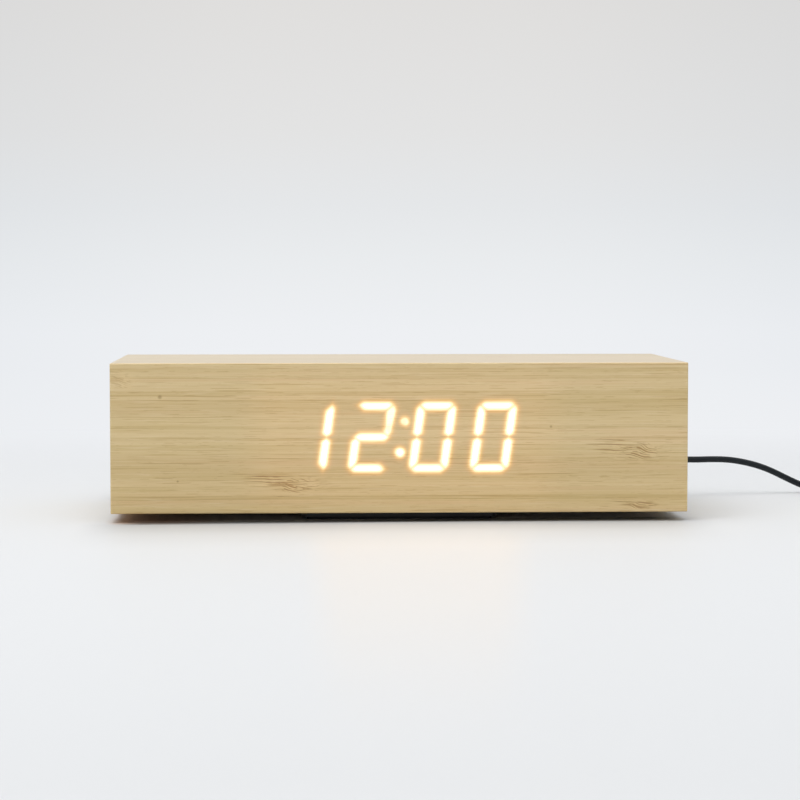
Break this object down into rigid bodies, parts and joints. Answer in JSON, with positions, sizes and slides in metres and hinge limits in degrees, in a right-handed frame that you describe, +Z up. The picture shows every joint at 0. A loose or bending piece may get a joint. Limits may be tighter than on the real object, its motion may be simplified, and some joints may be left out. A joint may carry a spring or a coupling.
{
  "type": "table alarm clock",
  "caption": "Bamboo-cased table alarm clock: warm segment digits shining through the front, rear buttons and alarm slider, sliding battery door, plugged-in power lead.",
  "frame": {"origin": "middle of the clock's footprint, on the surface it stands on", "axes": "+X to the right seen from the display, along the case's length; +Y to the rear; +Z up"},
  "size_m": [0.323, 0.1098, 0.058],
  "materials": {
    "bamboo_front": "fine vertical-grain bamboo, satin, with a few nodes",
    "bamboo": "fine bamboo, satin",
    "bamboo_inside": "sawn bamboo, unfinished",
    "black_abs": "fine moulded texture",
    "key_abs": "satin moulded plastic",
    "white_plastic": "satin moulded plastic",
    "rubber": "matt rubber",
    "steel": "plated steel",
    "brass": "turned brass",
    "cell_jacket": "printed-free steel jacket, satin",
    "film": "translucent diffuser film",
    "circuit_board": "solder-masked board",
    "chip": "moulded epoxy",
    "led": "phosphor-filled LED, warm white",
    "capacitor": "sleeved aluminium can",
    "ribbon": "flat cable insulation",
    "red_wire": "wire insulation",
    "grey_wire": "wire insulation",
    "cord_black": "soft PVC",
    "tie": "woven hook-and-loop strap"
  },
  "bodies": {
    "case": {"front_board": "bamboo_front", "top_board": "bamboo", "rear_board": "bamboo", "left_end_board": "bamboo", "right_end_board": "bamboo", "bottom_board": "bamboo", "corner_blocks": "bamboo_inside", "bottom_screws": "steel", "base_housing": "black_abs", "base_screws": "steel", "rubber_feet": "rubber", "battery_cells": "cell_jacket", "battery_springs": "steel", "contact_plates": "steel", "display_reflector": "white_plastic", "diffuser_film": "film", "display_board": "circuit_board", "segment_leds": "led", "driver_chip": "chip", "display_screws": "steel", "ribbon_sockets": "chip", "ribbon_cable": "ribbon", "main_board": "circuit_board", "board_standoffs": "brass", "board_screws": "steel", "clock_chip": "chip", "crystal_can": "steel", "coin_cell_holder": "chip", "coin_cell": "steel", "buzzer": "chip", "capacitors": "capacitor", "wire_sockets": "white_plastic", "battery_wires": "red_wire", "control_wires": "grey_wire", "control_panel": "black_abs", "panel_screws": "steel", "control_board": "circuit_board", "control_board_screws": "steel", "tact_switches": "chip", "slide_switch": "steel", "dc_jack": "chip", "dc_plug": "cord_black", "plug_barrel": "steel", "plug_relief": "cord_black", "cord": "cord_black", "cord_coil": "cord_black", "cord_tie": "tie", "cord_tail": "cord_black", "usb_grip": "cord_black", "usb_shell": "steel"},
    "door": {"battery_door": "black_abs"},
    "set_key": {"set_button": "key_abs", "set_plunger": "white_plastic"},
    "up_key": {"up_button": "key_abs", "up_plunger": "white_plastic"},
    "down_key": {"down_button": "key_abs", "down_plunger": "white_plastic"},
    "alarm_key": {"alarm_slider": "white_plastic"}
  },
  "joints": [
    {"name": "door_slide", "type": "slide", "parent": "case", "child": "door", "axis": [1, 0, 0], "range_m": [0, 0.0595]},
    {"name": "set_press", "type": "slide", "parent": "case", "child": "set_key", "axis": [0, -1, 0], "range_m": [0, 0.0005], "stiffness_N_per_m": 300},
    {"name": "up_press", "type": "slide", "parent": "case", "child": "up_key", "axis": [0, -1, 0], "range_m": [0, 0.0005], "stiffness_N_per_m": 300},
    {"name": "down_press", "type": "slide", "parent": "case", "child": "down_key", "axis": [0, -1, 0], "range_m": [0, 0.0005], "stiffness_N_per_m": 300},
    {"name": "alarm_slide", "type": "slide", "parent": "case", "child": "alarm_key", "axis": [1, 0, 0], "range_m": [0, 0.002]}
  ]
}
